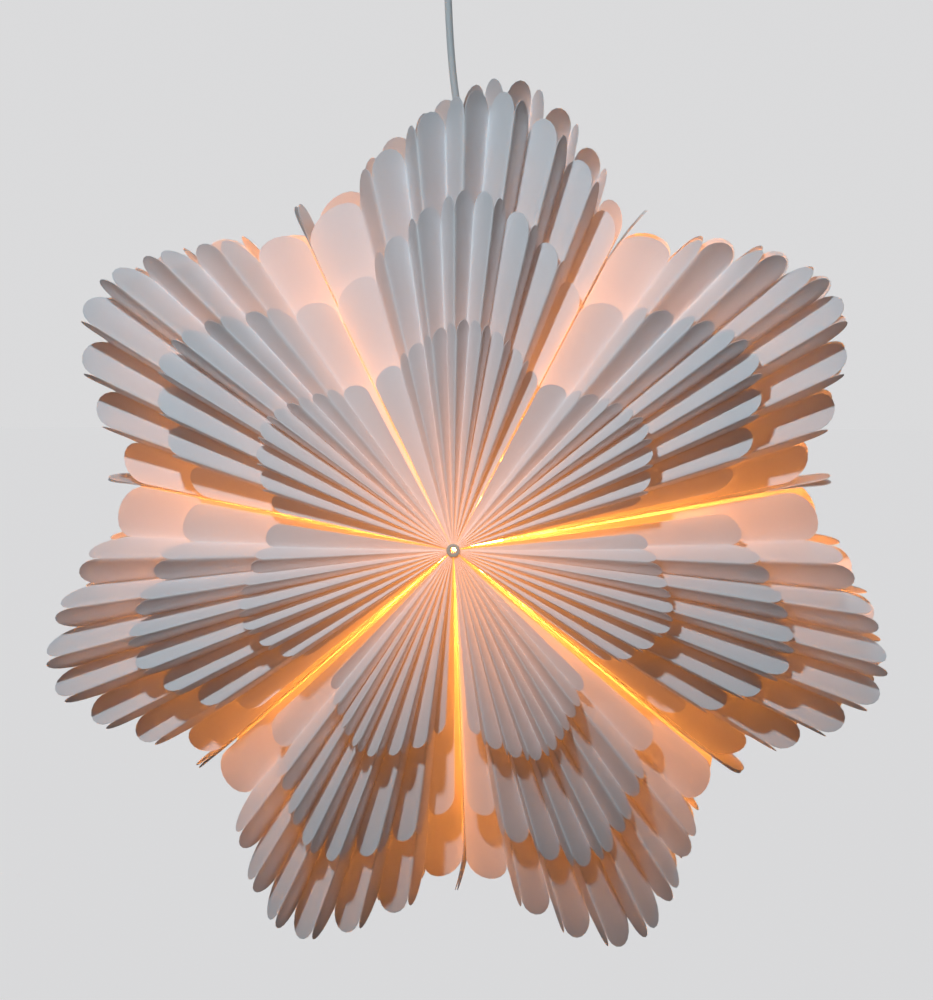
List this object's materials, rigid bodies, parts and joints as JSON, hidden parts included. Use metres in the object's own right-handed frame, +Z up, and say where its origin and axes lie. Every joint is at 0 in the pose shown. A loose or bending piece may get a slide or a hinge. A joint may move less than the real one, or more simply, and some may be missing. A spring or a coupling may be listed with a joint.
{
  "type": "paper star pendant light",
  "caption": "Pleated paper star pendant light: scalloped fans in nested tiers round a rivet, a bulb inside, hung on a cord from a ceiling cup.",
  "frame": {"origin": "on the ceiling, at the middle of the ceiling plate's upper face, above the outlet of the cord", "axes": "+Z up out of the ceiling plate, the front of the star faces -Y, +X to the right seen from the front; Y is the shortest extent"},
  "size_m": [0.6872, 0.254, 0.8761],
  "materials": {
    "star_card": "matt uncoated white card, lit from behind",
    "wall_card": "matt uncoated white card, two layers glued",
    "rivet_metal": "white lacquered tubular rivet",
    "hanger_wire": "zinc plated spring wire",
    "white_plastic": "moulded white thermoplastic",
    "contact_brass": "nickel-free spring brass",
    "bulb_metal": "rolled aluminium screw base",
    "opal_glass": "opal glass, lit warm white",
    "cord_sheath": "smooth white round sheath",
    "cup_plastic": "moulded white thermoplastic with a fine parting line",
    "plate_metal": "zinc plated pressed steel",
    "block_plastic": "ivory moulded terminal block"
  },
  "bodies": {
    "ceiling_rose": {"ceiling_plate": "plate_metal", "ceiling_cup": "cup_plastic", "cup_screws": "plate_metal", "terminal_block": "block_plastic"},
    "lead": {"cord": "cord_sheath", "cord_ball": "white_plastic"},
    "star": {"front_small_fan_1": "star_card", "rear_small_fan_1": "star_card", "front_small_fan_2": "star_card", "rear_small_fan_2": "star_card", "front_small_fan_3": "star_card", "rear_small_fan_3": "star_card", "front_small_fan_4": "star_card", "rear_small_fan_4": "star_card", "front_small_fan_5": "star_card", "rear_small_fan_5": "star_card", "front_small_fan_6": "star_card", "rear_small_fan_6": "star_card", "front_small_fan_7": "star_card", "rear_small_fan_7": "star_card", "front_middle_fan_1": "star_card", "rear_middle_fan_1": "star_card", "front_middle_fan_2": "star_card", "rear_middle_fan_2": "star_card", "front_middle_fan_3": "star_card", "rear_middle_fan_3": "star_card", "front_middle_fan_4": "star_card", "rear_middle_fan_4": "star_card", "front_middle_fan_5": "star_card", "rear_middle_fan_5": "star_card", "front_middle_fan_6": "star_card", "rear_middle_fan_6": "star_card", "front_middle_fan_7": "star_card", "rear_middle_fan_7": "star_card", "front_large_fan_1": "star_card", "rear_large_fan_1": "star_card", "front_large_fan_2": "star_card", "rear_large_fan_2": "star_card", "front_large_fan_3": "star_card", "rear_large_fan_3": "star_card", "front_large_fan_4": "star_card", "rear_large_fan_4": "star_card", "front_large_fan_5": "star_card", "rear_large_fan_5": "star_card", "front_large_fan_6": "star_card", "rear_large_fan_6": "star_card", "front_large_fan_7": "star_card", "rear_large_fan_7": "star_card", "seam_walls": "wall_card", "front_rivet": "rivet_metal", "rear_rivet": "rivet_metal", "hanger": "hanger_wire", "lampholder_body": "white_plastic", "lampholder_cap": "white_plastic", "cord_grip": "white_plastic", "contacts": "contact_brass"},
    "bulb": {"bulb_base": "bulb_metal", "bulb_glass": "opal_glass"},
    "ring": {"shade_ring": "white_plastic"}
  },
  "joints": [
    {"name": "pendant_swing", "type": "hinge", "parent": "ceiling_rose", "child": "lead", "pos_m": [0, 0, -0.0531], "axis": [1, 0, 0], "range_deg": [-8, 8]},
    {"name": "star_turn", "type": "hinge", "parent": "lead", "child": "star", "pos_m": [0.014, 0, -0.444], "axis": [0, 0, 1], "range_deg": [-180, 180]},
    {"name": "bulb_unscrew", "type": "hinge", "parent": "star", "child": "bulb", "pos_m": [0.014, 0, -0.54], "axis": [0, 0, 1], "range_deg": [0, 1800]},
    {"name": "ring_turn", "type": "hinge", "parent": "star", "child": "ring", "pos_m": [0.014, 0, -0.54], "axis": [0, 0, 1], "range_deg": [0, 720]}
  ]
}
